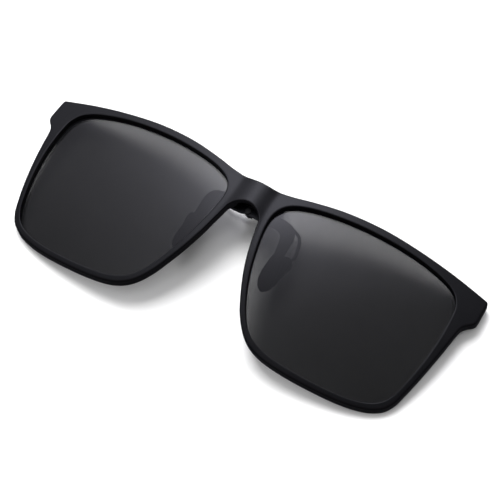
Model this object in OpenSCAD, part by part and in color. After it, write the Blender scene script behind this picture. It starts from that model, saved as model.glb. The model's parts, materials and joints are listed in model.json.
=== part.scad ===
// Clip-on flip lenses: a sunglass front that clips to spectacles and flips up.
// It is drawn as worn (x to the wearer's left, y backwards, z up), and lay_down() puts it on its back.

/* [Front] */
// Radius of the front's horizontal curve
curve_rx = 216; // [190:2:260]
// Radius of the front's vertical curve
curve_rz = 98; // [90:2:120]
// Thickness of the plastic front, front to back
frame_t = 3.4; // [3.3:0.1:3.8]
// Radius of the rounded ridge over the bridge
bridge_r = 11.5; // [11:0.1:12]
// Wall left in front of the hinge pocket
bridge_wall = 2; // [1.6:0.1:2.2]
// Height of the bridge ridge above the front face
bridge_rise = 1.15; // [1:0.05:1.3]
// Slope of the bridge ridge, top leaning back
bridge_lean = 10; // [8:1:12]

/* [Lenses] */
// Distance from the front face to the lens groove
groove_depth = 1.7; // [1.5:0.05:1.8]
// Width of the lens groove
groove_w = 1.1; // [1:0.05:1.2]
// How far the groove cuts into the rim
groove_bite = 0.7; // [0.5:0.05:0.8]
// Clearance between a lens and its groove
lens_gap = 0.04; // [0.02:0.01:0.06]

/* [Hinges] */
// Height of the flip axis above the lens centre line
flip_z = 19; // [18.8:0.1:19.2]
// Depth of the flip axis
flip_y = 7; // [6.9:0.1:7.1]
// Height of the jaw axis
jaw_z = 17.6; // [17.4:0.1:17.8]
// Depth of the jaw axis
jaw_y = 12.5; // [12.4:0.1:12.6]
// Radius of both hinge pins
pin_r = 0.5; // [0.4:0.05:0.5]
// Running clearance of a pin in a turning knuckle
pin_gap = 0.05; // [0.03:0.01:0.08]

/* [Grips] */
// Distance of the grip pads from the centre line
grip_x = 14; // [13.8:0.1:14.4]
// Thickness of a grip pad
boot_t = 2.2; // [2:0.1:2.4]
// Gap between closed pads
boot_gap = 0.4; // [0.4:0.1:0.6]
// Thickness of the sheet metal
sheet_t = 0.8; // [0.7:0.05:0.9]
// Diameter of the wire arms
wire_d = 1; // [0.9:0.05:1]
// Slope of the thumb lever, top leaning back
lever_lean = 30.8; // [29:0.2:33]
// Thickness of the thumb pad
thumb_t = 2.5; // [2.3:0.1:2.5]

/* [Resting] */
// Slope at which the clip-on lies on its back
lie_tilt = 8.5; // [8:0.5:9]

/* [Hidden] */
$fn = 64;

black = "#1d1d1f";
smoke = "#2b2b2e";
steel = "#5c5d60";
rubber = "#2a2a2b";

seat_y = 5;                                   // flat seat behind the bridge
ear_x = [3.2, 4];                             // inner and outer face of a bracket ear
ear_r = 1.8;
barrel_r = 1.7;
barrel_x = 2.7;                               // half length of the flip knuckle
jaw_sheet_y = 8.7;                            // front face of the front jaw sheet
cheek_x = [3.4, 4.2];                         // inner and outer face of a jaw cheek
knuckle_x = [2.2, 3.1];                       // inner and outer face of a rear knuckle
screw_at = [7.2, 18.3];
front_boot_y = jaw_sheet_y + sheet_t / 2 - boot_t / 2;
rear_boot_y = front_boot_y + boot_t + boot_gap;
lever_l = 9.8;                                // length of the leaning part of the lever
lever_foot = [jaw_y + 1.6, jaw_z + 1];        // depth and height where the lever leans back
ridge_z = 17;                                 // height at which the ridge is measured
bumper_z = 13.6;
bumper_r = 1;
tab_x = 4.6;                                  // half width of the bracket's lower tab
tab_foot = 12.7;                              // its lower end
sheet_foot = 14.5;                             // lower edge of the front jaw between its arms
ferrule_r = 0.9;

// Right half of the outline, in pieces that meet at corners
brow = [[0, 22.3], [5, 22.3], [10, 23.1], [16, 24.7], [24, 26.5], [32, 27.5], [40, 27.8],
    [50, 27.3], [60, 26.3], [71.2, 24.6]];
lug = [[71.9, 24.1], [72, 20.5], [72, 17], [71.4, 15.6], [70.1, 14.2], [69.1, 12.7]];
rim = [[68.6, 10.5], [67.9, 5.5], [66.9, -0.5], [65.6, -7], [64, -13.3], [62.8, -16.8],
    [60.4, -19.9], [55.5, -22.4], [47.5, -24.1], [36, -24.8], [27, -24.4], [21.5, -23],
    [17.5, -20.3], [14.2, -16], [11.6, -10.8], [9.4, -5.5], [7.5, 0.5], [6.1, 6.5], [5.1, 11.2]];
// Opening of one rim, anticlockwise
opening = [[65.4, 6], [65.3, 13.5], [64.6, 18], [62.1, 21.4], [57, 23.5], [49, 24.9], [40, 25.3],
    [30, 24.8], [20, 23.2], [13.5, 21.2], [9.8, 18.8], [8, 15.3], [7.8, 11], [8.8, 4.5],
    [10.9, -4], [13.8, -11.5], [17.2, -17.3], [20.8, -20.6], [26.5, -22.5], [36, -23.1],
    [46, -22.6], [53.5, -21.3], [58.7, -18.9], [61.6, -15.2], [63.3, -9.5], [64.7, -2]];
// Flat arm of the front jaw, outer edge then inner edge
arm = [[2, 17.4], [6.7, 17.6], [10.6, 17.5], [13.2, 16.6], [14.7, 14.4], [14.95, 11.5], [14.9, 7.5],
    [14.9, 2.6], [12.6, 2.6], [12.2, 6], [11.75, 9], [11.3, 11.4], [10.3, 13.2], [8.6, 13.9],
    [6, 13.8], [2, 14.2]];
// Outline of a front grip pad, x from grip_x outwards
front_pad = [[-1.9, 6.6], [-2.3, 5.6], [-2.45, 3], [-2.6, 0.8], [-2.4, -1.6], [-1.7, -3.5],
    [-0.7, -4.65], [0.4, -5], [1.5, -4.4], [2.15, -2.9], [2.35, -0.8], [2.1, 1.8], [1.8, 4.2], [1.5, 5.9],
    [0.6, 6.6], [-0.7, 6.8]];
// Outline of a rear grip pad, x from grip_x outwards
rear_pad = [[-1, 7.6], [-1.8, 5.5], [-2.1, 2.5], [-2, -0.5], [-1.3, -2.6], [0, -3.6], [1.3, -3.2],
    [2.1, -1.4], [2.5, 1], [2.9, 3.6], [3.2, 6.2], [3.1, 8], [2.3, 9], [1, 9.2], [-0.1, 8.6]];
// Side view of a rear pad, y from its front face backwards: thin at the tip, thick round the wire
rear_pad_side = [[0, -5], [boot_t - 0.7, -5], [boot_t - 0.1, 0.5], [boot_t + 0.6, 4.2],
    [boot_t + 2.3, 7], [boot_t + 2.3, 10], [boot_t - 0.3, 10], [0, 6.4]];
// A point on the lever, by its distance behind the rear face and its distance up from the foot
function lever_point(back, up) = [lever_foot[0] + up * sin(lever_lean) + back * cos(lever_lean),
    lever_foot[1] + up * cos(lever_lean) - back * sin(lever_lean)];
ferrule = lever_point(ferrule_r + 0.01, 0.9);
// Centre line of a wire arm: x, y, z
wire_route = [[1.6, ferrule[0], ferrule[1]], [5.4, ferrule[0], ferrule[1]], [8.6, 15.9, 18.6],
    [11.4, 16.6, 18.9], [13.6, 17, 18], [14.8, 17, 16.3], [15.6, 16.6, 13.6], [16.3, 15.4, 11],
    [16.1, rear_boot_y + 3.7, 9.4], [15.7, rear_boot_y + 2.7, 7.6], [15.2, rear_boot_y + 1.8, 5.4],
    [14.8, rear_boot_y + 1.3, 3], [14.5, rear_boot_y + 1.05, 0.4]];

// Depth of the curved sheet at x and z, d below its front face
function sheet_y(x, z, d) = let (r = curve_rz - d)
    curve_rx - sqrt(pow(curve_rx - curve_rz + sqrt(r * r - z * z), 2) - x * x);

// One point of a Catmull-Rom curve between p1 and p2
function curve_point(p0, p1, p2, p3, t) = 0.5 * (2 * p1 + (p2 - p0) * t
    + (2 * p0 - 5 * p1 + 4 * p2 - p3) * t * t + (3 * p1 - p0 - 3 * p2 + p3) * t * t * t);
function smooth_closed(p, n) = let (c = len(p))
    [for (i = [0:c - 1], k = [0:n - 1])
        curve_point(p[(i + c - 1) % c], p[i], p[(i + 1) % c], p[(i + 2) % c], k / n)];
function smooth_open(p, n) = let (c = len(p))
    concat([for (i = [0:c - 2], k = [0:n - 1])
        curve_point(p[max(i - 1, 0)], p[i], p[i + 1], p[min(i + 2, c - 1)], k / n)], [p[c - 1]]);
function flip_x(p) = [for (i = [len(p) - 1:-1:0]) [-p[i][0], p[i][1]]];

// Closed anticlockwise outline moved outwards by d
function grown(p, d) = let (c = len(p))
    [for (i = [0:c - 1]) let (e = p[(i + 1) % c] - p[(i + c - 1) % c]) p[i] + d * [e[1], -e[0]] / norm(e)];

opening_line = smooth_closed(opening, 3);
half_outline = concat(smooth_open(brow, 3), smooth_open(lug, 3), smooth_open(rim, 3));
outline = concat(half_outline, flip_x(half_outline));

function unit(v) = v / norm(v);
// One ring of a tube
function ring(p, u, v, r, sides) =
    [for (k = [0:sides - 1]) let (a = 360 * k / sides) p + r * (cos(a) * u + sin(a) * v)];
// Rings of a tube along a route, each carried on from the one before so that the tube doesn't twist
function carried(p, i, u, r, sides, rings) = let (c = len(p))
    i == c ? rings
    : let (t = unit(p[min(i + 1, c - 1)] - p[max(i - 1, 0)]), w = unit(u - (u * t) * t))
        carried(p, i + 1, w, r, sides, concat(rings, [ring(p[i], w, cross(t, w), r, sides)]));

module tube(route, r, sides, start = [0, 0, 1]) {
    rings = carried(route, 0, start, r, sides, []);
    c = len(rings);
    points = [for (a = rings, p = a) p];
    walls = [for (i = [0:c - 2], k = [0:sides - 1]) let (a = i * sides, b = a + sides, m = (k + 1) % sides)
        [a + k, b + k, b + m, a + m]];
    ends = [[for (k = [0:sides - 1]) k], [for (k = [sides - 1:-1:0]) (c - 1) * sides + k]];
    polyhedron(points, concat(walls, ends));
}

// Lays the worn object on its back, resting on the lower rims and the thumb lever
function laid_y(p, d) = p[1] * cos(lie_tilt) + sheet_y(p[0], p[1], d) * sin(lie_tilt);
function laid_depth(p, d) = sheet_y(p[0], p[1], d) * cos(lie_tilt) - p[1] * sin(lie_tilt);
laid_far = max([for (p = half_outline) laid_y(p, frame_t)]);
laid_near = min([for (p = half_outline) laid_y(p, 0)]);
laid_drop = max([for (p = half_outline) laid_depth(p, frame_t)]);
module lay_down() {
    translate([0, -(laid_far + laid_near) / 2, laid_drop]) rotate([lie_tilt - 90, 0, 0]) children();
}

// Side 1 is as drawn, side -1 is mirrored
module side(s) {
    if (s > 0) children();
    else mirror([1, 0, 0]) children();
}
// A flat outline in x and z, made solid from y0 to y1
module slab(points, y0, y1) {
    translate([0, y1, 0]) rotate([90, 0, 0]) linear_extrude(y1 - y0) polygon(points);
}
// An outline in y and z, made solid over the span x
module side_plate(points, x) {
    translate([x[0], 0, 0]) rotate([90, 0, 90]) linear_extrude(x[1] - x[0]) polygon(points);
}
module block(x, y, z) {
    translate([x[0], y[0], z[0]]) cube([x[1] - x[0], y[1] - y[0], z[1] - z[0]]);
}
// A rod along x at depth y and height z
module rod(x, y, z, r) {
    translate([x[0], y, z]) rotate([0, 90, 0]) cylinder(r = r, h = x[1] - x[0]);
}
// A rod along y at x and height z
module peg(x, y, z, r) {
    translate([x, y[1], z]) rotate([90, 0, 0]) cylinder(r = r, h = y[1] - y[0]);
}
// Curved sheet of the front, from depth d0 to depth d1 below its front face
module curved_sheet(d0, d1) {
    translate([0, curve_rx, 0]) rotate_extrude(angle = 50, start = 245) difference() {
        translate([curve_rx - curve_rz, 0]) circle(curve_rz - d0, $fn = 200);
        translate([curve_rx - curve_rz, 0]) circle(curve_rz - d1, $fn = 200);
        translate([0, -curve_rz - 5]) square([curve_rx - 40, 2 * curve_rz + 10]);
    }
}
module ridge(r) {
    translate([0, sheet_y(0, ridge_z, 0) - bridge_rise + bridge_r / cos(bridge_lean), ridge_z])
        rotate([-bridge_lean, 0, 0]) cylinder(r = r, h = 26, center = true);
}

module front_frame() {
    color(black) lay_down() difference() {
        union() {
            intersection() {
                slab(outline, -4, 24);
                curved_sheet(0, frame_t);
            }
            intersection() {
                slab(outline, -4, seat_y);
                ridge(bridge_r);
            }
        }
        for (s = [1, -1]) side(s) {
            slab(opening_line, -5, 25);
            intersection() {
                slab(grown(opening_line, groove_bite), -5, 25);
                curved_sheet(groove_depth, groove_depth + groove_w);
            }
            peg(screw_at[0], [2.6, 8], screw_at[1], pin_r);
        }
        intersection() {
            ridge(bridge_r - bridge_wall);
            block([-3.6, 3.6], [-4, 12], [5, 20.8]);
        }
        block([-9.4, 9.4], [seat_y, 12], [14.8, 21.6]);
        peg(0, [-5, 12], 9.06, 5.44);
    }
}

module lens(s) {
    color(smoke) lay_down() side(s) intersection() {
        slab(grown(opening_line, groove_bite - lens_gap), -5, 25);
        curved_sheet(groove_depth + lens_gap, groove_depth + groove_w - lens_gap);
    }
}
module lens_left() { lens(-1); }
module lens_right() { lens(1); }

module hinge_bracket() {
    color(steel) lay_down() difference() {
        union() {
            block([-9, 9], [seat_y, seat_y + sheet_t], [15, 21.2]);
            block([-tab_x, tab_x], [seat_y, seat_y + sheet_t], [tab_foot, 15.2]);
            for (s = [1, -1]) side(s) {
                rod(ear_x, flip_y, flip_z, ear_r);
                block(ear_x, [seat_y + 0.4, flip_y], [flip_z - ear_r, flip_z + ear_r]);
            }
        }
        block([-ear_x[0], ear_x[0]], [4, 12], [16.6, 22]);
        rod([-5, 5], flip_y, flip_z, pin_r);
        for (s = [1, -1]) peg(s * screw_at[0], [4, 12], screw_at[1], pin_r + pin_gap);
        peg(0, [4, 12], bumper_z, 0.5);
    }
}

module bracket_screws() {
    color(steel) lay_down() for (s = [1, -1]) side(s) difference() {
        union() {
            peg(screw_at[0], [2.7, seat_y + sheet_t + 0.1], screw_at[1], pin_r - 0.01);
            peg(screw_at[0], [seat_y + sheet_t, seat_y + sheet_t + 0.55], screw_at[1], 1);
        }
        translate([screw_at[0], 6.25, screw_at[1]]) cube([2.4, 0.4, 0.25], center = true);
    }
}

module flip_pin() {
    color(steel) lay_down() {
        rod([-ear_x[1] - 0.1, ear_x[1] + 0.1], flip_y, flip_z, pin_r);
        for (s = [1, -1]) side(s) rod([ear_x[1], ear_x[1] + 0.5], flip_y, flip_z, 0.95);
    }
}

module detent_spring() {
    color("silver") lay_down() union() {
        block([-1.6, 1.6], [seat_y - 0.25, seat_y], [15.2, 20]);
        translate([0, seat_y - 0.25, 20]) rotate([20, 0, 0]) block([-1.6, 1.6], [0, 0.25], [-0.05, 0.7]);
    }
}

module hinge_washers() {
    color("silver") lay_down() for (s = [1, -1]) side(s) difference() {
        rod([barrel_x + 0.06, ear_x[0] - 0.02], flip_y, flip_z, 1.4);
        rod([barrel_x - 1, ear_x[1]], flip_y, flip_z, pin_r);
    }
}

module stop_bumper() {
    tip_y = jaw_sheet_y - 0.35;
    color(rubber) lay_down() union() {
        peg(0, [seat_y - 0.6, tip_y - 0.3], bumper_z, 0.5);
        peg(0, [seat_y - 0.6, seat_y], bumper_z, 0.8);
        peg(0, [seat_y + sheet_t, seat_y + sheet_t + 0.8], bumper_z, bumper_r);
        translate([0, tip_y, bumper_z]) rotate([90, 0, 0])
            cylinder(r1 = 0.55, r2 = 0.8, h = tip_y - seat_y - sheet_t - 0.4);
    }
}

// Side view of a jaw cheek, from the sheet back to the jaw pin
cheek_side = [[jaw_sheet_y + 0.2, 14.6], [jaw_sheet_y + 0.2, 17.2], [jaw_y - 1.9, jaw_z + 1.3],
    [jaw_y, jaw_z + 1.5], [jaw_y, jaw_z - 1.5], [jaw_y - 2, jaw_z - 2.7]];
module front_jaw_plate() {
    color(steel) lay_down() difference() {
        union() {
            rod([-barrel_x, barrel_x], flip_y, flip_z, barrel_r);
            block([-barrel_x, barrel_x], [jaw_sheet_y - 0.4, jaw_sheet_y + sheet_t], [16.9, flip_z]);
            block([-cheek_x[1], cheek_x[1]], [jaw_sheet_y, jaw_sheet_y + sheet_t], [sheet_foot, 17.3]);
            block([-0.8, 0.8], [jaw_sheet_y, jaw_sheet_y + sheet_t], [bumper_z + 0.1, 15]);
            for (s = [1, -1]) side(s) {
                slab(smooth_closed(arm, 4), jaw_sheet_y, jaw_sheet_y + sheet_t);
                side_plate(cheek_side, cheek_x);
                rod(cheek_x, jaw_y, jaw_z, 1.5);
            }
        }
        rod([-4, 4], flip_y, flip_z, pin_r + pin_gap);
        rod([-5, 5], jaw_y, jaw_z, pin_r);
    }
}

module jaw_pin() {
    color("silver") lay_down() rod([-4.75, 4.75], jaw_y, jaw_z, pin_r);
}

module pin_clips() {
    color(steel) lay_down() for (s = [1, -1]) side(s) difference() {
        rod([cheek_x[1] + 0.02, cheek_x[1] + 0.37], jaw_y, jaw_z, 1.15);
        rod([4, 5], jaw_y, jaw_z, pin_r);
        block([4, 5], [jaw_y, jaw_y + 2], [jaw_z - 0.35, jaw_z + 0.35]);
    }
}

module front_boot(s) {
    color(rubber) lay_down() side(s) difference() {
        translate([grip_x, 0, 0])
            slab(smooth_closed(front_pad, 4), front_boot_y, front_boot_y + boot_t);
        slab(smooth_closed(arm, 4), jaw_sheet_y, jaw_sheet_y + sheet_t);
    }
}
module front_boot_left() { front_boot(-1); }
module front_boot_right() { front_boot(1); }

module rear_boot(s) {
    color(rubber) lay_down() side(s) difference() {
        translate([grip_x, rear_boot_y, 0]) intersection() {
            slab(smooth_closed(rear_pad, 4), 0, boot_t + 3);
            side_plate(rear_pad_side, [-4, 5]);
        }
        tube(smooth_open(wire_route, 4), wire_d / 2 + 0.01, 8);
    }
}
module rear_boot_left() { rear_boot(-1); }
module rear_boot_right() { rear_boot(1); }

// Side view of the rear plate: lower flange, waist and lever leaning back
lever_side = [[lever_foot[0] - sheet_t, jaw_z - 1.4], [lever_foot[0], jaw_z - 1.4], lever_foot,
    lever_point(0, lever_l), lever_point(-sheet_t, lever_l), [lever_foot[0] - sheet_t, lever_foot[1] + 0.2]];
// Front view of the rear plate, right half
lever_half = [[3.1, 12], [3.1, jaw_z + 2.6], [4.8, jaw_z + 4.4], [4.8, 25.6], [3.8, 27.4]];
module rear_jaw_plate() {
    color(steel) lay_down() difference() {
        union() {
            intersection() {
                side_plate(lever_side, [-6, 6]);
                slab(concat(lever_half, flip_x(lever_half)), 10, 22);
            }
            for (s = [1, -1]) side(s) {
                rod(knuckle_x, jaw_y, jaw_z, 1.4);
                block(knuckle_x, [jaw_y, 13.6], [jaw_z - 1.4, jaw_z + 1.4]);
            }
        }
        rod([-5, 5], jaw_y, jaw_z, pin_r + pin_gap);
        on_lever() for (s = [1, -1]) peg(s * 2.2, [-2, 1], 6, 0.45);
        block([-2.05, 2.05], [13, 16], [jaw_z - 1.8, jaw_z + 2.6]);
    }
}

module rear_wire(s) {
    color("silver") lay_down() side(s) tube(smooth_open(wire_route, 4), wire_d / 2, 8);
}
module rear_wire_left() { rear_wire(-1); }
module rear_wire_right() { rear_wire(1); }

module wire_ferrules() {
    color(steel) lay_down() for (s = [1, -1]) side(s) difference() {
        rod([0.6, 5], ferrule[0], ferrule[1], ferrule_r);
        rod([1.5, 6], ferrule[0], ferrule[1], wire_d / 2 + 0.03);
    }
}

// Frame of the lever's rear face: z runs up the lever, y out of its back
module on_lever() {
    translate([0, lever_foot[0], lever_foot[1]]) rotate([-lever_lean, 0, 0]) children();
}
module thumb_pad() {
    color(rubber) lay_down() on_lever() difference() {
        block([-4.6, 4.6], [0.02, thumb_t], [3.2, 9.6]);
        for (i = [0:3]) rod([-5, 5], thumb_t + 0.1, 4.2 + 1.4 * i, 0.35);
        for (s = [1, -1]) peg(s * 2.2, [-0.1, 1.4], 6, 0.45);
    }
}
module pad_rivets() {
    color("silver") lay_down() on_lever() for (s = [1, -1]) union() {
        peg(s * 2.2, [-sheet_t - 0.1, 1.2], 6, 0.44);
        peg(s * 2.2, [-sheet_t - 0.3, -sheet_t - 0.02], 6, 0.8);
    }
}

spring_wire_r = 0.2;
spring_coil_r = 1.2;
spring_turns = 6;
spring_x = 1.7;                               // half length of the coil
function spring_point(a) = [-spring_x + 2 * spring_x * a / (360 * spring_turns),
    jaw_y + spring_coil_r * cos(a), jaw_z + spring_coil_r * sin(a)];
module jaw_spring() {
    coil = [for (a = [0:24:360 * spring_turns + 168]) spring_point(a)];
    first_leg = [[-spring_x, jaw_y + spring_coil_r + 0.2, jaw_z + 4]];
    last_leg = [[spring_x + 0.2, jaw_sheet_y + sheet_t + 0.25, jaw_z + 1.2]];
    color("silver") lay_down() tube(concat(first_leg, coil, last_leg), spring_wire_r, 6, [1, 0, 0]);
}

front_frame();
lens_left();
lens_right();
hinge_bracket();
bracket_screws();
flip_pin();
detent_spring();
hinge_washers();
stop_bumper();
front_jaw_plate();
front_boot_left();
front_boot_right();
jaw_pin();
pin_clips();
rear_jaw_plate();
rear_wire_left();
rear_wire_right();
rear_boot_left();
rear_boot_right();
wire_ferrules();
thumb_pad();
pad_rivets();
jaw_spring();
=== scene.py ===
import json
import math
import bmesh
import bpy
import numpy as np
from mathutils import Matrix, Vector


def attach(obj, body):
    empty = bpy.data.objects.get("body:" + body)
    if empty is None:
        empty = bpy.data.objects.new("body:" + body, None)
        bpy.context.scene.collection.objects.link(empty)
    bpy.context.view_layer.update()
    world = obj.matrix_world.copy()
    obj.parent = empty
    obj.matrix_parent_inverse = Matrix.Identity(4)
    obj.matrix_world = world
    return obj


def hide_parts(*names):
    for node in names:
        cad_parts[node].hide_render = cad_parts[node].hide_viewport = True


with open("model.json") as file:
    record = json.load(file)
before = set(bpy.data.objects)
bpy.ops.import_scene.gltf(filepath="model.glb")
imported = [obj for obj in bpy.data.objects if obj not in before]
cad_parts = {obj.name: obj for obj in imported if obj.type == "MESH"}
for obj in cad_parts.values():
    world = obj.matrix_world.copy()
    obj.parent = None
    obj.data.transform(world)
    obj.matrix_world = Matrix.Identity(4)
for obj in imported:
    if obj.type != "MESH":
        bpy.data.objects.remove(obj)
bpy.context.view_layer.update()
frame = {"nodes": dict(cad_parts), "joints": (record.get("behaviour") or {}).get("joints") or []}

# ---------------------------------------------------------------- sizes, in millimetres as worn
# x is to the wearer's left, y backwards, z up. laid() turns these into the frame, in metres.
# In names, left and right are as seen from the front, as in the photo, so left pieces have x below 0.
LIE_TILT = math.radians(8.5)
FLIP_AXIS = (7.0, 19.0)          # depth and height of the flip hinge
CURVE_RX, CURVE_RZ = 216.0, 98.0
FRAME_T = 3.4
BRIDGE_R, BRIDGE_WALL, BRIDGE_LEAN = 11.5, 2.0, math.radians(10)
RIDGE_RISE, RIDGE_Z = 1.15, 17.0  # height of the bridge ridge, and where it is measured
RIDGE_BLEND = 0.6                # how softly the ridge runs into the front face
POCKET_X, POCKET_TOP = 3.6, 21.0  # half width and top of the pocket behind the ridge
SEAT_X, SEAT_TOP = 10.5, 22.0    # half width and top of the flat seat behind the bridge
CREASE_X = 5.25                  # about where the ridge meets the front face
ARCH_R, ARCH_Z = 5.44, 9.06      # arch under the bridge
GROOVE = (1.7, 2.8)              # depths of the lens groove's walls
GROOVE_BITE, LENS_GAP = 0.7, 0.04
LENS_CENTRE = (36.5, 0.8)
LENS_BEVEL = 0.2
SEAT_Y = 5.0
RIM_EDGE, LIP_EDGE, BACK_EDGE = 0.5, 0.46, 0.35    # edge radii
LIP_DEPTH = 0.2                  # the lip round a lens is rounded more gently than the other edges
GRIP_X = 14.0
JAW_SHEET_Y, SHEET_T = 8.7, 0.8
BOOT_T, BOOT_GAP = 2.2, 0.4
PAD_INSET = 0.12                 # room for the domed faces of a front pad
WIRE_R = 0.5
FRONT_BOOT_Y = JAW_SHEET_Y + SHEET_T / 2 - BOOT_T / 2
REAR_BOOT_Y = FRONT_BOOT_Y + BOOT_T + BOOT_GAP
JAW_AXIS = (12.5, 17.6)
LEVER_FOOT, LEVER_LEAN = (14.1, 18.6), math.radians(30.8)
FERRULE_R = 0.9
SPRING_R, SPRING_WIRE, SPRING_TURNS, SPRING_X = 1.2, 0.2, 6, 1.7

BROW = [(0, 22.3), (5, 22.3), (10, 23.1), (16, 24.7), (24, 26.5), (32, 27.5), (40, 27.8),
        (50, 27.3), (60, 26.3), (71.2, 24.6)]
LUG = [(71.9, 24.1), (72, 20.5), (72, 17), (71.4, 15.6), (70.1, 14.2), (69.1, 12.7)]
RIM = [(68.6, 10.5), (67.9, 5.5), (66.9, -0.5), (65.6, -7), (64, -13.3), (62.8, -16.8),
       (60.4, -19.9), (55.5, -22.4), (47.5, -24.1), (36, -24.8), (27, -24.4), (21.5, -23),
       (17.5, -20.3), (14.2, -16), (11.6, -10.8), (9.4, -5.5), (7.5, 0.5), (6.1, 6.5), (5.1, 11.2)]
OPENING = [(65.4, 6), (65.3, 13.5), (64.6, 18), (62.1, 21.4), (57, 23.5), (49, 24.9), (40, 25.3),
           (30, 24.8), (20, 23.2), (13.5, 21.2), (9.8, 18.8), (8, 15.3), (7.8, 11), (8.8, 4.5),
           (10.9, -4), (13.8, -11.5), (17.2, -17.3), (20.8, -20.6), (26.5, -22.5), (36, -23.1),
           (46, -22.6), (53.5, -21.3), (58.7, -18.9), (61.6, -15.2), (63.3, -9.5), (64.7, -2)]
# Outlines of the grip pads, x from the middle of the grip outwards
FRONT_PAD = [(-1.9, 6.6), (-2.3, 5.6), (-2.45, 3), (-2.6, 0.8), (-2.4, -1.6), (-1.7, -3.5),
             (-0.7, -4.65), (0.4, -5), (1.5, -4.4), (2.15, -2.9), (2.35, -0.8), (2.1, 1.8),
             (1.8, 4.2), (1.5, 5.9), (0.6, 6.6), (-0.7, 6.8)]
REAR_PAD = [(-1, 7.6), (-1.8, 5.5), (-2.1, 2.5), (-2, -0.5), (-1.3, -2.6), (0, -3.6), (1.3, -3.2),
            (2.1, -1.4), (2.5, 1), (2.9, 3.6), (3.2, 6.2), (3.1, 8), (2.3, 9), (1, 9.2), (-0.1, 8.6)]
# Rear face of a rear pad: height, and depth behind REAR_BOOT_Y
REAR_PAD_SIDE = [(-5, BOOT_T - 0.7), (0.5, BOOT_T - 0.1), (4.2, BOOT_T + 0.6), (7, BOOT_T + 2.3),
                 (10, BOOT_T + 2.3)]
# Places on the outline and the places on the opening that face them
FACING = [((0, 22.3), (9.6, 18.6)), ((5, 22.3), (11, 19.8)), ((10, 23.1), (13.5, 21.2)),
          ((24, 26.5), (22, 23.7)), ((60, 26.3), (57, 23.5)), ((70.5, 24.7), (62.3, 21.2)),
          ((71.9, 24.1), (63, 20.5)), ((72, 20.5), (64.2, 19)), ((72, 17), (65, 16)),
          ((69.1, 12.7), (65.35, 12.6)), ((66.9, -0.5), (64.9, -0.5)), ((64, -13.3), (62.3, -13)),
          ((60.4, -19.9), (59.2, -18.4)), ((55.5, -22.4), (54.6, -20.9)), ((36, -24.8), (36, -23.1)),
          ((21.5, -23), (22.2, -21.3)), ((17.5, -20.3), (18.6, -18.8)), ((11.6, -10.8), (13.3, -10.4)),
          ((6.1, 6.5), (8.35, 7.4)), ((5.1, 11.2), (7.8, 11.5)), ((0, 14.5), (7.85, 14.3))]

hinge_pos = {j["name"]: np.array(j["pos_m"]) for j in frame["joints"]}


def turned(p):
    """Worn millimetres, turned to lie on the back, in metres, before the shift to the frame's origin."""
    p = np.atleast_2d(np.asarray(p, float))
    s, c = math.sin(LIE_TILT), math.cos(LIE_TILT)
    return np.column_stack([p[:, 0], p[:, 2] * c + p[:, 1] * s, p[:, 2] * s - p[:, 1] * c]) / 1000


SHIFT = hinge_pos["flip_hinge"] - turned((0, *FLIP_AXIS))[0]


def laid(p):
    return turned(p) + SHIFT


# ---------------------------------------------------------------- curves and surfaces
def smooth_line(points, steps, closed=False):
    """Catmull-Rom curve through points."""
    p = np.asarray(points, float)
    n = len(p)
    out = []
    for i in range(n if closed else n - 1):
        at = [(i + k) % n if closed else min(max(i + k, 0), n - 1) for k in (-1, 0, 1, 2)]
        a, b, c, d = p[at]
        for t in np.arange(steps) / steps:
            out.append(0.5 * (2 * b + (c - a) * t + (2 * a - 5 * b + 4 * c - d) * t ** 2
                              + (3 * b - a - 3 * c + d) * t ** 3))
    if not closed:
        out.append(p[-1])
    return np.array(out)


def sheet_y(x, z, depth=0.0):
    """Depth of the curved front at x and z, depth below its face."""
    r = CURVE_RZ - depth
    return CURVE_RX - np.sqrt((CURVE_RX - CURVE_RZ + np.sqrt(r * r - z * z)) ** 2 - x * x)


def ridge_y(x, z, r):
    """Front of the bridge's round ridge, or far back where x is outside it."""
    rise = np.sqrt(np.maximum(r * r - x * x, 0)) / math.cos(BRIDGE_LEAN)
    middle = sheet_y(0, RIDGE_Z) - RIDGE_RISE + BRIDGE_R / math.cos(BRIDGE_LEAN)
    face = middle + (z - RIDGE_Z) * math.tan(BRIDGE_LEAN) - rise
    far_back = 1000
    return np.where(np.abs(x) < r, face, far_back)


def soft_min(a, b, k):
    """The smaller of a and b, rounded over where they differ by less than k."""
    h = np.clip(0.5 + 0.5 * (b - a) / k, 0, 1)
    return b + (a - b) * h - k * h * (1 - h)


def front_y(x, z):
    return soft_min(sheet_y(x, z), ridge_y(x, z, BRIDGE_R), RIDGE_BLEND)


def fade(inside, width):
    """0 outside a limit, rising to 1 over width inside it."""
    return np.clip(inside / width, 0, 1)


def back_y(x, z):
    """Rear face, hollow behind the bridge ridge for the hinge."""
    plain = sheet_y(x, z, FRAME_T)
    hollow = ridge_y(x, z, BRIDGE_R - BRIDGE_WALL)
    deep = fade(POCKET_X - np.abs(x), 0.3) * fade(POCKET_TOP - z, 0.4)
    seat = fade(SEAT_X - np.abs(x), 1.0) * fade(SEAT_TOP - z, 0.5)
    plain = plain + (np.minimum(plain, SEAT_Y) - plain) * seat
    return plain + (np.minimum(plain, hollow) - plain) * deep


def arc_lengths(p):
    return np.concatenate([[0], np.cumsum(np.linalg.norm(np.diff(p, axis=0), axis=1))])


def at_length(p, lengths, s):
    return np.column_stack([np.interp(s, lengths, p[:, k]) for k in range(p.shape[1])])


def line_normals(p, closed):
    """Unit normals to the left of the way along p."""
    if closed:
        t = np.roll(p, -1, axis=0) - np.roll(p, 1, axis=0)
    else:
        t = np.gradient(p, axis=0)
    t /= np.linalg.norm(t, axis=1)[:, None]
    return np.column_stack([-t[:, 1], t[:, 0]])


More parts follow.
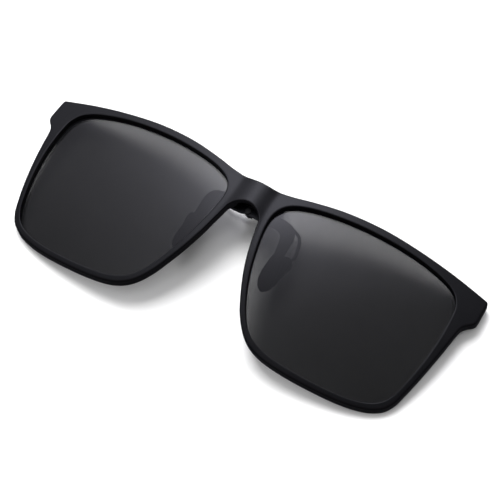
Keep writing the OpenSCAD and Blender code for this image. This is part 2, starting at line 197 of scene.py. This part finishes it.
def softened(p, width):
    """Open path p with its corners rounded: each point becomes the mean of the path within width of it."""
    s = arc_lengths(p)
    fine = np.arange(0, s[-1], 0.05)
    q = at_length(p, s, np.append(fine, s[-1]))
    n = max(int(width / 0.05), 1)
    padded = np.concatenate([2 * q[0] - q[n:0:-1], q, 2 * q[-1] - q[-2:-n - 2:-1]])
    kernel = np.hanning(2 * n + 3)[1:-1]
    kernel /= kernel.sum()
    return np.column_stack([np.convolve(padded[:, k], kernel, "valid") for k in (0, 1)])


# ---------------------------------------------------------------- mesh helpers
def new_object(name, verts, faces, body, sharp):
    """An object that rides on body, from worn millimetres, smooth but for edges over sharp degrees."""
    mesh = bpy.data.meshes.new(name)
    mesh.from_pydata([tuple(v) for v in laid(verts)], [], [tuple(int(i) for i in f) for f in faces])
    mesh.validate()
    obj = bpy.data.objects.new(name, mesh)
    bpy.context.scene.collection.objects.link(obj)
    bm = bmesh.new()
    bm.from_mesh(mesh)
    bmesh.ops.remove_doubles(bm, verts=bm.verts, dist=2e-6)
    bmesh.ops.recalc_face_normals(bm, faces=bm.faces)
    for f in bm.faces:
        f.smooth = True
    bm.to_mesh(mesh)
    bm.free()
    mesh.set_sharp_from_angle(angle=math.radians(sharp))
    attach(obj, body)
    return obj


def strip_faces(a, b, closed):
    """Quads between two rows of vertex numbers."""
    n = len(a)
    return [(a[i], a[(i + 1) % n], b[(i + 1) % n], b[i]) for i in range(n if closed else n - 1)]


def mirrored(verts, faces):
    flipped = np.array(verts) * (-1, 1, 1)
    return flipped, [tuple(reversed(f)) for f in faces]


# ---------------------------------------------------------------- front frame
def front_stations(spacing=0.55):
    """Facing points of the opening and the outline, in order round the opening."""
    outer = softened(np.vstack([smooth_line(BROW, 16)[:-1], smooth_line(BROW[-1:] + LUG + RIM[:1], 16)[:-1],
                                smooth_line(RIM, 16)]), 0.5)
    tip = math.atan2(outer[-1][1] - ARCH_Z, outer[-1][0])
    arch = [(ARCH_R * math.cos(a), ARCH_Z + ARCH_R * math.sin(a)) for a in np.linspace(tip, math.pi / 2, 40)]
    outer = softened(np.vstack([outer, arch[1:]]), 0.3)
    outer[0] = (0, BROW[0][1])
    outer[-1] = (0, ARCH_Z + ARCH_R)
    inner = smooth_line(OPENING, 16, closed=True)[::-1]
    start = np.argmin(np.linalg.norm(inner - FACING[0][1], axis=1))
    inner = np.roll(inner, -start, axis=0)
    inner = np.vstack([inner, inner[:1]])
    so, si = arc_lengths(outer), arc_lengths(inner)
    mark_o = [so[np.argmin(np.linalg.norm(outer - o, axis=1))] for o, i in FACING]
    mark_i = [si[np.argmin(np.linalg.norm(inner - i, axis=1))] for o, i in FACING]
    mark_i[0] = 0
    path_o, path_i = [], []
    for k in range(len(FACING) - 1):
        n = max(int(round(max(mark_o[k + 1] - mark_o[k], mark_i[k + 1] - mark_i[k]) / spacing)), 2)
        t = np.arange(n) / n
        path_o += list(mark_o[k] + t * (mark_o[k + 1] - mark_o[k]))
        path_i += list(mark_i[k] + t * (mark_i[k + 1] - mark_i[k]))
    path_o.append(mark_o[-1])
    path_i.append(mark_i[-1])
    rim_count = len(path_o)
    q = at_length(outer, so, np.array(path_o))
    middle = 16                                   # steps up the middle of the bridge
    t = np.arange(1, middle) / middle
    path_i += list(mark_i[-1] + t * (si[-1] - mark_i[-1]))
    q = np.vstack([q, np.column_stack([np.zeros(middle - 1), q[-1][1] + t * (q[0][1] - q[-1][1])])])
    p = at_length(inner, si, np.array(path_i))
    into_inner = line_normals(p, True)
    into_outer = -line_normals(q[:rim_count], False)
    into_outer[0] = (0, -1)
    into_outer[-1] = (0, 1)
    into_outer = np.vstack([into_outer, np.zeros((middle - 1, 2))])
    return p, q, into_inner, into_outer, rim_count


def front_frame():
    """Rims, brow, lugs and bridge: rows of points go round the section, lens groove included."""
    p, q, m, n, rim_count = front_stations()
    a = p + m * LIP_EDGE
    b = q + n * RIM_EDGE
    b[rim_count:] = q[rim_count:]
    cross = (a[:, 0] - CREASE_X) / np.maximum(a[:, 0] - b[:, 0], 1e-6)
    share = np.where(b[:, 0] < CREASE_X, np.clip(cross, 0.05, 0.95),
                     0.5 + 0.45 * np.exp(-np.maximum(b[:, 0] - CREASE_X, 0) / 2.5))
    mid = a + (b - a) * share[:, None]
    near = [0.0, 0.05, 0.16, 0.38, 0.62, 0.82, 0.93]
    far = [0.0, 0.03, 0.09, 0.2, 0.34, 0.5, 0.66, 0.8, 0.91, 0.97, 1.0]
    body = [a + (mid - a) * t for t in near] + [mid + (b - mid) * t for t in far]
    turn = np.radians([15, 30, 45, 60, 75, 90])
    rows = []

    def row(xz, depth, rim_only=False):
        x, z = xz[:, 0], xz[:, 1]
        f, r = front_y(x, z), back_y(x, z)
        y = f + (r - f) * (depth / FRAME_T)
        rows.append((np.column_stack([x, y, z]), rim_only))

    for t in body:
        row(t, 0)
    for t in turn:
        row(q + n * RIM_EDGE * (1 - math.sin(t)), RIM_EDGE * (1 - math.cos(t)), True)
    for d in (RIM_EDGE + 0.15, FRAME_T / 2, FRAME_T - BACK_EDGE - 0.15):
        row(q, d, True)
    for t in turn[::-1]:
        row(q + n * BACK_EDGE * (1 - math.sin(t)), FRAME_T - BACK_EDGE * (1 - math.cos(t)), True)
    for t in body[::-1]:
        row(t, FRAME_T)
    for t in turn:
        row(p + m * LIP_EDGE * (1 - math.sin(t)), FRAME_T - LIP_DEPTH * (1 - math.cos(t)))
    row(p, GROOVE[1] + 0.05)
    row(p, GROOVE[1])
    row(p + m * GROOVE_BITE, GROOVE[1])
    row(p + m * GROOVE_BITE, GROOVE[0])
    row(p, GROOVE[0])
    for t in turn[::-1]:
        row(p + m * LIP_EDGE * (1 - math.sin(t)), LIP_DEPTH * (1 - math.cos(t)))

    count = len(p)
    verts = np.vstack([r[0] for r in rows])
    faces = []
    for k in range(len(rows)):
        nxt = (k + 1) % len(rows)
        rim_only = rows[k][1] or rows[nxt][1]
        for i in range(count):
            j = (i + 1) % count
            if rim_only and (i >= rim_count - 1):
                continue
            faces.append((k * count + i, k * count + j, nxt * count + j, nxt * count + i))
    other, other_faces = mirrored(verts, faces)
    offset = len(verts)
    faces += [tuple(i + offset for i in f) for f in other_faces]
    obj = new_object("front_rims", np.vstack([verts, other]), faces, "front", sharp=50)
    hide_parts("front_frame")
    return obj


# ---------------------------------------------------------------- lenses
def lens(side, name):
    """Curved sheet with a bevelled edge, on rings that shrink towards the middle."""
    edge = smooth_line(OPENING, 8, closed=True)
    m = -line_normals(edge, True)
    rim = edge + m * (GROOVE_BITE - LENS_GAP)
    centre = np.array(LENS_CENTRE)
    shrink = 1 - np.linspace(0, 1, 26)[1:-1]
    front, back = GROOVE[0] + LENS_GAP, GROOVE[1] - LENS_GAP
    face = rim - m * LENS_BEVEL
    rings = [(face, front), (rim, front + LENS_BEVEL), (rim, back - LENS_BEVEL), (face, back)]
    verts = []
    faces = []
    n = len(rim)

    def add(xz, depth):
        y = sheet_y(xz[:, 0], xz[:, 1]) + depth
        verts.extend(np.column_stack([xz[:, 0], y, xz[:, 1]]))
        return list(range(len(verts) - len(xz), len(verts)))

    edge_rows = [add(xz, d) for xz, d in rings]
    for k in range(3):
        faces += strip_faces(edge_rows[k], edge_rows[k + 1], True)
    for start, depth in ((edge_rows[0], front), (edge_rows[3], back)):
        last = start
        for s in shrink:
            ring = add(centre + (face - centre) * s, depth)
            faces += strip_faces(last, ring, True)
            last = ring
        hub = add(centre[None], depth)[0]
        faces += [(last[i], last[(i + 1) % n], hub) for i in range(n)]
    return new_object(name, np.array(verts) * (side, 1, 1), faces, "front", sharp=35)


# ---------------------------------------------------------------- pads, wires and spring
def pillow(name, outline, front, back, edge, dome, side, body):
    """Rubber pad with rounded edges: front and back give its faces' depths, and dome swells them."""
    turn = np.radians([0, 18, 36, 54, 72, 90])
    inward = line_normals(outline, True)
    centre = outline.mean(axis=0)
    verts, faces, rows = [], [], []

    def add(xz, at, offset):
        y = at(xz[:, 0], xz[:, 1]) + offset
        verts.extend(np.column_stack([xz[:, 0], y, xz[:, 1]]))
        rows.append(list(range(len(verts) - len(xz), len(verts))))

    inner = outline + inward * edge
    for s in np.linspace(0.12, 0.999, 10):
        add(centre + (inner - centre) * s, front, -dome * (1 - s ** 2))
    for t in turn[1:]:
        add(outline + inward * edge * (1 - math.sin(t)), front, edge * (1 - math.cos(t)))
    for t in turn[:0:-1]:
        add(outline + inward * edge * (1 - math.sin(t)), back, -edge * (1 - math.cos(t)))
    for s in np.linspace(0.999, 0.12, 10):
        add(centre + (inner - centre) * s, back, dome * (1 - s ** 2))
    for a, b in zip(rows, rows[1:]):
        faces += strip_faces(a, b, True)
    faces += [tuple(rows[0]), tuple(rows[-1])]
    return new_object(name, np.array(verts) * (side, 1, 1), faces, body, sharp=60)


def front_pad_front(x, z):
    return FRONT_BOOT_Y + PAD_INSET + 0 * x


def front_pad_back(x, z):
    return FRONT_BOOT_Y + BOOT_T - PAD_INSET + 0 * x


def rear_pad_back(x, z):
    """Rear face of a rear pad: thin at the tip, thick round the wire, rounded where its slope ends."""
    heights, depths = zip(*REAR_PAD_SIDE)
    plain = np.interp(z, heights, depths)
    near = sum(np.interp(z + d, heights, depths) for d in (-1.2, -0.6, 0.6, 1.2))
    return REAR_BOOT_Y + np.minimum((plain + near) / 5, plain)


def rear_pad_front(x, z):
    return REAR_BOOT_Y + np.interp(z, [6.2, 10], [0.02, BOOT_T - 0.3])


def pipe(name, route, r, sides, side, body):
    """Round wire along a route, with rounded ends."""
    route = np.asarray(route, float)
    tangents = np.gradient(route, axis=0)
    tangents /= np.linalg.norm(tangents, axis=1)[:, None]
    u = np.cross(tangents[0], (0, 0, 1.0))
    if np.linalg.norm(u) < 1e-3:
        u = np.array([1.0, 0, 0])
    verts, faces, rows = [], [], []
    angles = 2 * math.pi * np.arange(sides) / sides

    def ring(p, t, r):
        nonlocal u
        u = u - t * np.dot(u, t)
        u = u / np.linalg.norm(u)
        v = np.cross(t, u)
        verts.extend(p + r * (np.cos(a) * u + np.sin(a) * v) for a in angles)
        rows.append(list(range(len(verts) - sides, len(verts))))

    for a in (70, 45, 20):
        a = math.radians(a)
        ring(route[0] - tangents[0] * r * 0.5 * (math.sin(a) - 1), tangents[0], r * math.cos(a))
    for p, t in zip(route[1:-1], tangents[1:-1]):
        ring(p, t, r)
    for a in (20, 45, 70):
        a = math.radians(a)
        ring(route[-1] + tangents[-1] * r * 0.5 * (math.sin(a) - 1), tangents[-1], r * math.cos(a))
    for a, b in zip(rows, rows[1:]):
        faces += strip_faces(a, b, True)
    faces += [tuple(rows[0]), tuple(rows[-1])]
    return new_object(name, np.array(verts) * (side, 1, 1), faces, body, sharp=60)


def lever_point(back, up):
    """Depth and height of the point that is up along the leaning lever and back from its face."""
    return (LEVER_FOOT[0] + up * math.sin(LEVER_LEAN) + back * math.cos(LEVER_LEAN),
            LEVER_FOOT[1] + up * math.cos(LEVER_LEAN) - back * math.sin(LEVER_LEAN))


def wire_route():
    fy, fz = lever_point(FERRULE_R + 0.01, 0.9)
    b = REAR_BOOT_Y
    points = [(1.6, fy, fz), (5.4, fy, fz), (8.6, 15.9, 18.6), (11.4, 16.6, 18.9), (13.6, 17, 18),
              (14.8, 17, 16.3), (15.6, 16.6, 13.6), (16.3, 15.4, 11), (16.1, b + 3.7, 9.4),
              (15.7, b + 2.7, 7.6), (15.2, b + 1.8, 5.4), (14.8, b + 1.3, 3), (14.5, b + 1.05, 0.4)]
    return smooth_line(points, 8)


def spring_route():
    a = np.radians(np.arange(0, 360 * SPRING_TURNS + 169, 12))
    coil = np.column_stack([-SPRING_X + 2 * SPRING_X * a / (2 * math.pi * SPRING_TURNS),
                            JAW_AXIS[0] + SPRING_R * np.cos(a), JAW_AXIS[1] + SPRING_R * np.sin(a)])
    first = np.linspace((-SPRING_X, JAW_AXIS[0] + SPRING_R + 0.2, JAW_AXIS[1] + 4), coil[0], 8)[:-1]
    last = np.linspace(coil[-1], (SPRING_X + 0.2, JAW_SHEET_Y + SHEET_T + 0.25, JAW_AXIS[1] + 1.2), 6)[1:]
    return np.vstack([first, coil, last])


# ---------------------------------------------------------------- materials
def material(name):
    mat = bpy.data.materials.new(name)
    mat.use_nodes = True
    tree = mat.node_tree
    shader = tree.nodes["Principled BSDF"]
    return mat, tree, shader


def noise(tree, scale, detail=4.0, rough=0.5):
    coords = tree.nodes.new("ShaderNodeTexCoord")
    node = tree.nodes.new("ShaderNodeTexNoise")
    node.inputs["Scale"].default_value = scale
    node.inputs["Detail"].default_value = detail
    node.inputs["Roughness"].default_value = rough
    tree.links.new(coords.outputs["Object"], node.inputs["Vector"])
    return node


def ramp(tree, source, stops):
    node = tree.nodes.new("ShaderNodeValToRGB")
    elements = node.color_ramp.elements
    while len(elements) < len(stops):
        elements.new(0.5)
    for e, (at, value) in zip(elements, stops):
        e.position = at
        e.color = (*value, 1) if isinstance(value, tuple) else (value, value, value, 1)
    tree.links.new(source, node.inputs["Fac"])
    return node


def bump(tree, shader, source, strength, distance):
    node = tree.nodes.new("ShaderNodeBump")
    node.inputs["Strength"].default_value = strength
    node.inputs["Distance"].default_value = distance
    tree.links.new(source, node.inputs["Height"])
    tree.links.new(node.outputs["Normal"], shader.inputs["Normal"])


def frame_plastic():
    mat, tree, sh = material("matte_black_plastic")
    grain = noise(tree, 5200, 3, 0.6)
    cloud = noise(tree, 90, 4)
    colour = ramp(tree, cloud.outputs["Fac"],
                  [(0.3, (0.0034, 0.0034, 0.0041)), (0.7, (0.0052, 0.0052, 0.0061))])
    tree.links.new(colour.outputs["Color"], sh.inputs["Base Color"])
    rough = ramp(tree, grain.outputs["Fac"], [(0.3, 0.29), (0.7, 0.37)])
    tree.links.new(rough.outputs["Color"], sh.inputs["Roughness"])
    bump(tree, sh, grain.outputs["Fac"], 0.25, 0.00004)
    sh.inputs["IOR"].default_value = 1.5
    sh.inputs["Specular IOR Level"].default_value = 0.42
    return mat


def lens_tint(name, alpha, rough):
    """Smoke tint on one face of a lens; the two faces' alphas together set how dark it is."""
    mat, tree, sh = material(name)
    haze = noise(tree, 60, 3)
    colour = ramp(tree, haze.outputs["Fac"],
                  [(0.3, (0.0030, 0.0030, 0.0034)), (0.7, (0.0040, 0.0040, 0.0046))])
    tree.links.new(colour.outputs["Color"], sh.inputs["Base Color"])
    sh.inputs["Roughness"].default_value = rough
    sh.inputs["IOR"].default_value = 1.5
    sh.inputs["Alpha"].default_value = alpha
    return mat


def rubber():
    mat, tree, sh = material("black_silicone_rubber")
    grain = noise(tree, 3000, 4, 0.6)
    colour = ramp(tree, grain.outputs["Fac"], [(0.3, (0.010, 0.010, 0.011)), (0.7, (0.015, 0.015, 0.016))])
    tree.links.new(colour.outputs["Color"], sh.inputs["Base Color"])
    sh.inputs["Roughness"].default_value = 0.62
    sh.inputs["Sheen Weight"].default_value = 0.1
    bump(tree, sh, grain.outputs["Fac"], 0.3, 0.00005)
    return mat


def metal(name, dark, light, rough):
    mat, tree, sh = material(name)
    streak = noise(tree, 1500, 5, 0.6)
    colour = ramp(tree, streak.outputs["Fac"], [(0.3, dark), (0.7, light)])
    tree.links.new(colour.outputs["Color"], sh.inputs["Base Color"])
    rough_map = ramp(tree, streak.outputs["Fac"], [(0.3, rough - 0.06), (0.7, rough + 0.08)])
    tree.links.new(rough_map.outputs["Color"], sh.inputs["Roughness"])
    sh.inputs["Metallic"].default_value = 1.0
    bump(tree, sh, streak.outputs["Fac"], 0.1, 0.00002)
    return mat


PLASTIC = frame_plastic()
LENS_FRONT = lens_tint("smoke_lens_front", 0.885, 0.03)
LENS_BACK = lens_tint("smoke_lens_back", 0.22, 0.05)
RUBBER = rubber()
DARK_METAL = metal("blackened_steel", (0.08, 0.08, 0.083), (0.13, 0.13, 0.134), 0.34)
WIRE_METAL = metal("darkened_wire", (0.10, 0.10, 0.104), (0.17, 0.17, 0.175), 0.32)
SPRING_METAL = metal("spring_steel", (0.30, 0.30, 0.31), (0.42, 0.42, 0.43), 0.26)
SCREW_METAL = metal("black_screw", (0.03, 0.03, 0.032), (0.05, 0.05, 0.052), 0.34)
BRASS = metal("washer_bronze", (0.30, 0.22, 0.12), (0.40, 0.30, 0.17), 0.34)


def paint(obj, mat):
    obj.data.materials.clear()
    obj.data.materials.append(mat)


# ---------------------------------------------------------------- build
rims = front_frame()
paint(rims, PLASTIC)

for side, word in ((-1, "left"), (1, "right")):
    sheet = lens(side, "tinted_lens_" + word)
    sheet.data.materials.clear()
    sheet.data.materials.append(LENS_FRONT)
    sheet.data.materials.append(LENS_BACK)
    for poly in sheet.data.polygons:
        faces_down = poly.normal.z < -0.05        # the back of a lens, which lies face up
        poly.material_index = 1 if faces_down else 0
    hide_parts("lens_" + word)

front_line = smooth_line(FRONT_PAD, 6, closed=True) + (GRIP_X, 0)
rear_line = smooth_line(REAR_PAD, 6, closed=True) + (GRIP_X, 0)
replaced = {"front_frame", "lens_left", "lens_right", "jaw_spring"}
for side, word in ((-1, "left"), (1, "right")):
    pad = pillow("front_pad_" + word, front_line, front_pad_front, front_pad_back, 0.75, 0.1, side,
                 "front_jaw")
    paint(pad, RUBBER)
    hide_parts("front_boot_" + word)
    pad = pillow("rear_pad_" + word, rear_line, rear_pad_front, rear_pad_back, 0.7, 0.0, side, "rear_jaw")
    paint(pad, RUBBER)
    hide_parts("rear_boot_" + word)
    wire = pipe("bent_wire_" + word, wire_route(), WIRE_R, 16, side, "rear_jaw")
    paint(wire, WIRE_METAL)
    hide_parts("rear_wire_" + word)
    replaced |= {"front_boot_" + word, "rear_boot_" + word, "rear_wire_" + word}

coil = pipe("coil_spring", spring_route(), SPRING_WIRE, 10, 1, "rear_jaw")
paint(coil, SPRING_METAL)
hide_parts("jaw_spring")


def bevelled(obj, width):
    """Rounds the edges of a CAD piece, by width in millimetres."""
    mod = obj.modifiers.new("edges", "BEVEL")
    mod.width = width / 1000
    mod.segments = 2
    mod.limit_method = "ANGLE"
    mod.angle_limit = math.radians(35)
    mod.harden_normals = False
    mod.use_clamp_overlap = True


FINISH = {"stop_bumper": RUBBER, "thumb_pad": RUBBER, "detent_spring": SPRING_METAL,
          "hinge_washers": BRASS, "jaw_pin": WIRE_METAL, "pad_rivets": WIRE_METAL,
          "flip_pin": WIRE_METAL, "bracket_screws": SCREW_METAL, "pin_clips": SPRING_METAL}
EDGE = {"hinge_bracket": 0.12, "front_jaw_plate": 0.14, "rear_jaw_plate": 0.14, "thumb_pad": 0.3,
        "stop_bumper": 0.12, "bracket_screws": 0.08, "flip_pin": 0.08, "jaw_pin": 0.06,
        "pad_rivets": 0.08, "wire_ferrules": 0.08, "pin_clips": 0.04, "hinge_washers": 0.03,
        "detent_spring": 0.03}
for node, obj in frame["nodes"].items():
    if node in replaced:
        continue
    paint(obj, FINISH.get(node, DARK_METAL))
    bevelled(obj, EDGE.get(node, 0.05))

# ---------------------------------------------------------------- floor, light, camera
def floor():
    mesh = bpy.data.meshes.new("floor")
    s = 3.0
    mesh.from_pydata([(-s, -s, 0), (s, -s, 0), (s, s, 0), (-s, s, 0)], [], [(0, 1, 2, 3)])
    obj = bpy.data.objects.new("floor", mesh)
    bpy.context.scene.collection.objects.link(obj)
    mat, tree, sh = material("pale_floor")
    sh.inputs["Base Color"].default_value = (0.95, 0.95, 0.95, 1)
    sh.inputs["Roughness"].default_value = 0.8
    sh.inputs["Specular IOR Level"].default_value = 0.2
    paint(obj, mat)
    obj.visible_glossy = False
    obj.visible_diffuse = False
    return obj


GLOW = Vector((-0.23, 0.60, 0.74))      # where the studio is brightest
GLOW_WIDTH = Vector((2.0, 1.0, 1.0))    # above 1: the bright part is narrower along that axis
# Brightness by the cosine of a narrowed direction's angle from GLOW: 0 is square to it, 1 straight at it
GLOW_STOPS = [(0.0, 0.03), (0.4, 0.07), (0.65, 0.2), (0.8, 0.5), (0.88, 0.76), (0.935, 1.22),
              (0.97, 2.0), (1.0, 3.4)]
GLOW_TINT = (0.94, 0.94, 1.08)
EVEN_LIGHT = 0.36                       # what matt surfaces get from every side


def sky():
    """Studio that reflections see as a glow towards GLOW, and matt surfaces as even light."""
    world = bpy.data.worlds.new("studio")
    bpy.context.scene.world = world
    world.use_nodes = True
    tree = world.node_tree
    background = tree.nodes["Background"]
    coords = tree.nodes.new("ShaderNodeTexCoord")
    narrow = tree.nodes.new("ShaderNodeVectorMath")
    narrow.operation = "MULTIPLY"
    narrow.inputs[1].default_value = GLOW_WIDTH
    tree.links.new(coords.outputs["Generated"], narrow.inputs[0])
    unit = tree.nodes.new("ShaderNodeVectorMath")
    unit.operation = "NORMALIZE"
    tree.links.new(narrow.outputs["Vector"], unit.inputs[0])
    dot = tree.nodes.new("ShaderNodeVectorMath")
    dot.operation = "DOT_PRODUCT"
    dot.inputs[1].default_value = (GLOW * GLOW_WIDTH).normalized()
    tree.links.new(unit.outputs["Vector"], dot.inputs[0])
    soft = tree.nodes.new("ShaderNodeValToRGB")
    soft.color_ramp.interpolation = "B_SPLINE"
    peak = GLOW_STOPS[-1][1]            # the ramp holds shares of the peak, and the strength is the peak
    while len(soft.color_ramp.elements) < len(GLOW_STOPS):
        soft.color_ramp.elements.new(0.5)
    for e, (at, value) in zip(soft.color_ramp.elements, GLOW_STOPS):
        e.position = at
        e.color = (*(tint * value / peak for tint in GLOW_TINT), 1)
    tree.links.new(dot.outputs["Value"], soft.inputs["Fac"])
    path = tree.nodes.new("ShaderNodeLightPath")
    choose = tree.nodes.new("ShaderNodeMix")
    choose.data_type = "RGBA"
    tree.links.new(path.outputs["Is Diffuse Ray"], choose.inputs["Factor"])
    tree.links.new(soft.outputs["Color"], choose.inputs["A"])
    choose.inputs["B"].default_value = (*[EVEN_LIGHT / peak] * 3, 1)
    tree.links.new(choose.outputs["Result"], background.inputs["Color"])
    background.inputs["Strength"].default_value = peak


def area_light(name, towards, distance, size, power):
    """A square soft light at distance from the origin, on the side towards, unseen in reflections."""
    data = bpy.data.lights.new(name, "AREA")
    data.size = size
    data.energy = power
    obj = bpy.data.objects.new(name, data)
    bpy.context.scene.collection.objects.link(obj)
    way = Vector(towards).normalized()
    obj.location = way * distance
    obj.rotation_euler = way.to_track_quat("Z", "Y").to_euler()
    obj.visible_glossy = False


def camera():
    data = bpy.data.cameras.new("camera")
    data.sensor_width = 36
    data.lens = 123
    obj = bpy.data.objects.new("camera", data)
    bpy.context.scene.collection.objects.link(obj)
    place = Vector((0.1323, -0.2219, 0.4274))
    target = Vector((0.0056, 0.0027, 0.010))
    roll = math.radians(0.35)
    away = (place - target).normalized()
    right = Vector((0, 0, 1)).cross(away).normalized()
    up = away.cross(right)
    right, up = right * math.cos(roll) + up * math.sin(roll), up * math.cos(roll) - right * math.sin(roll)
    turn = Matrix((right, up, away)).transposed()
    obj.matrix_world = Matrix.Translation(place) @ turn.to_4x4()
    bpy.context.scene.camera = obj


floor()
sky()
area_light("key", (-0.3, 0.2, 0.93), 0.9, 0.5, 9.0)
area_light("fill", (-0.1, -0.2, 0.95), 1.0, 0.9, 3.0)
camera()
bpy.context.scene.view_settings.view_transform = "Standard"
